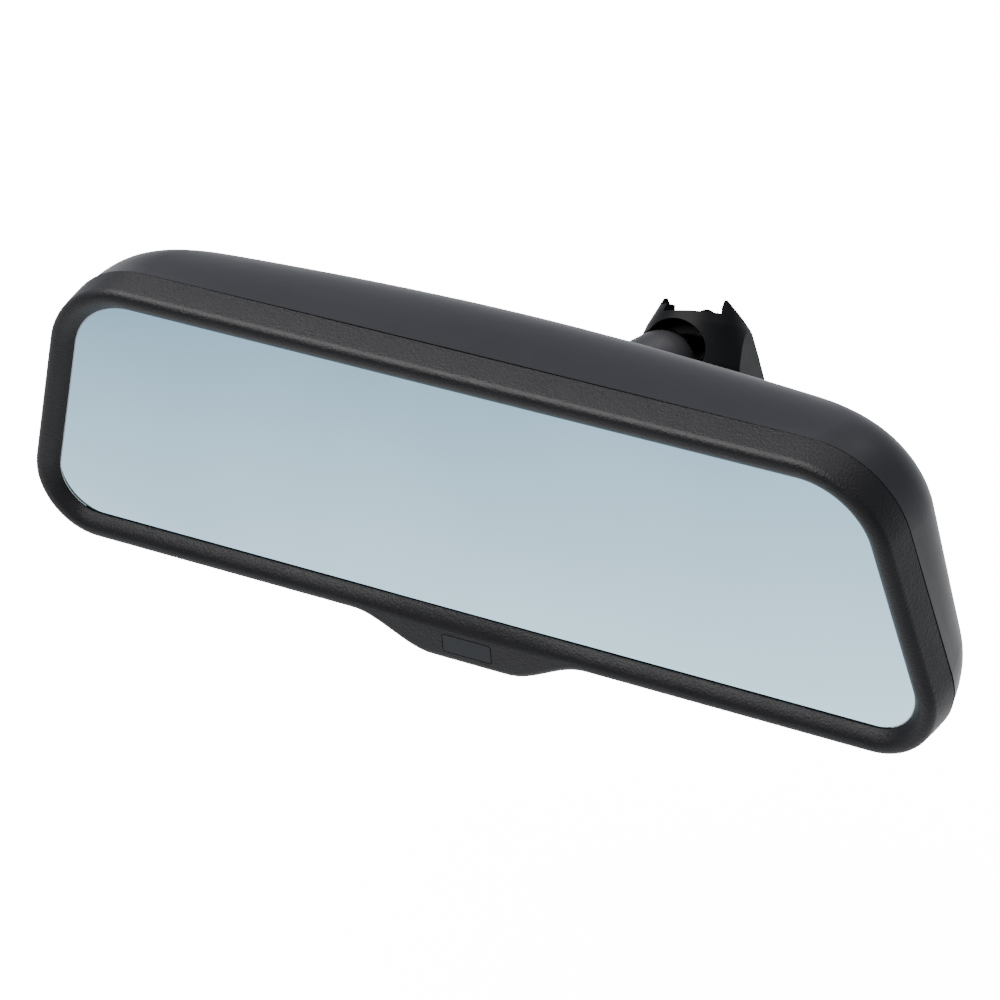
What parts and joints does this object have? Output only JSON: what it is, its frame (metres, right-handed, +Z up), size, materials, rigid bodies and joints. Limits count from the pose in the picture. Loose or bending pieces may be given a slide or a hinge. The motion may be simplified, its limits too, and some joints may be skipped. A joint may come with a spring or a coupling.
{
  "type": "interior rearview mirror",
  "caption": "Self-dimming interior rearview mirror: wide trapezoid glass in a moulded bezel with a sensor chin, double-ball arm and clip-on windscreen foot.",
  "frame": {"origin": "centre of the foot's socket mouth, where the windscreen button sits", "axes": "+X along the mirror's long side, to the right when looking at the glass; +Y away from the viewer, behind the glass; +Z up"},
  "size_m": [0.2474, 0.095, 0.0845],
  "materials": {
    "grained_trim": "fine leather grain, satin",
    "satin_housing": "smooth satin",
    "black_plastic": "matt moulded",
    "arm_plastic": "smooth satin",
    "foot_plastic": "satin moulded",
    "liner_nylon": "black nylon, slightly waxy",
    "connector_plastic": "matt moulded",
    "clear_glass": "polished",
    "dimming_gel": "clear",
    "mirror_glass": "polished, blue-grey",
    "seal_grey": "smooth",
    "smoked_window": "smooth, smoked",
    "foam": "closed-cell foam",
    "board_green": "solder mask",
    "chip_black": "moulded epoxy",
    "can_metal": "drawn can",
    "flex_amber": "polyimide film",
    "sensor_clear": "clear moulding",
    "plated_metal": "plated sheet",
    "spring_steel": "oiled",
    "ball_steel": "ground, phosphated black",
    "zinc_screw": "black zinc"
  },
  "bodies": {
    "foot": {"foot_casting": "foot_plastic", "foot_ball_stud": "ball_steel", "retaining_clip": "spring_steel", "clip_rivets": "zinc_screw"},
    "foot_joint": {"foot_cup": "liner_nylon"},
    "arm": {"arm_tube": "arm_plastic", "spring_seat": "plated_metal", "arm_spring": "spring_steel", "head_ball": "black_plastic"},
    "head_joint_inner": {"head_liner": "liner_nylon"},
    "head_joint_outer": {"head_ring": "spring_steel"},
    "head": {"bezel": "grained_trim", "capacitors": "can_metal", "carrier_plate": "black_plastic", "circuit_board": "board_green", "connector_header": "connector_plastic", "connector_pins": "plated_metal", "controller_chips": "chip_black", "dimming_gel": "dimming_gel", "foam_pad": "foam", "front_glass": "clear_glass", "glare_sensor": "sensor_clear", "housing_screws": "zinc_screw", "lower_bus_clip": "plated_metal", "perimeter_seal": "seal_grey", "rear_glass": "mirror_glass", "rear_housing": "satin_housing", "sensor_flex": "flex_amber", "sensor_window": "smoked_window", "sky_lens": "smoked_window", "sky_light_sensor": "sensor_clear", "socket_plate": "plated_metal", "socket_screws": "zinc_screw", "upper_bus_clip": "plated_metal"}
  },
  "joints": [
    {"name": "arm_swing", "type": "hinge", "parent": "foot", "child": "foot_joint", "pos_m": [-0.00346, -0.01502, -0.00601], "axis": [0, 0, 1], "range_deg": [-12, 12]},
    {"name": "arm_lift", "type": "hinge", "parent": "foot_joint", "child": "arm", "pos_m": [-0.00346, -0.01502, -0.00601], "axis": [1, 0, 0], "range_deg": [-8, 10]},
    {"name": "head_turn", "type": "hinge", "parent": "arm", "child": "head_joint_inner", "pos_m": [-0.0209, -0.0497, -0.00895], "axis": [0, 0, 1], "range_deg": [-25, 12]},
    {"name": "head_tilt", "type": "hinge", "parent": "head_joint_inner", "child": "head_joint_outer", "pos_m": [-0.0209, -0.0497, -0.00895], "axis": [1, 0, 0], "range_deg": [-15, 15]},
    {"name": "head_roll", "type": "hinge", "parent": "head_joint_outer", "child": "head", "pos_m": [-0.0209, -0.0497, -0.00895], "axis": [0, 1, 0], "range_deg": [-10, 10]}
  ]
}
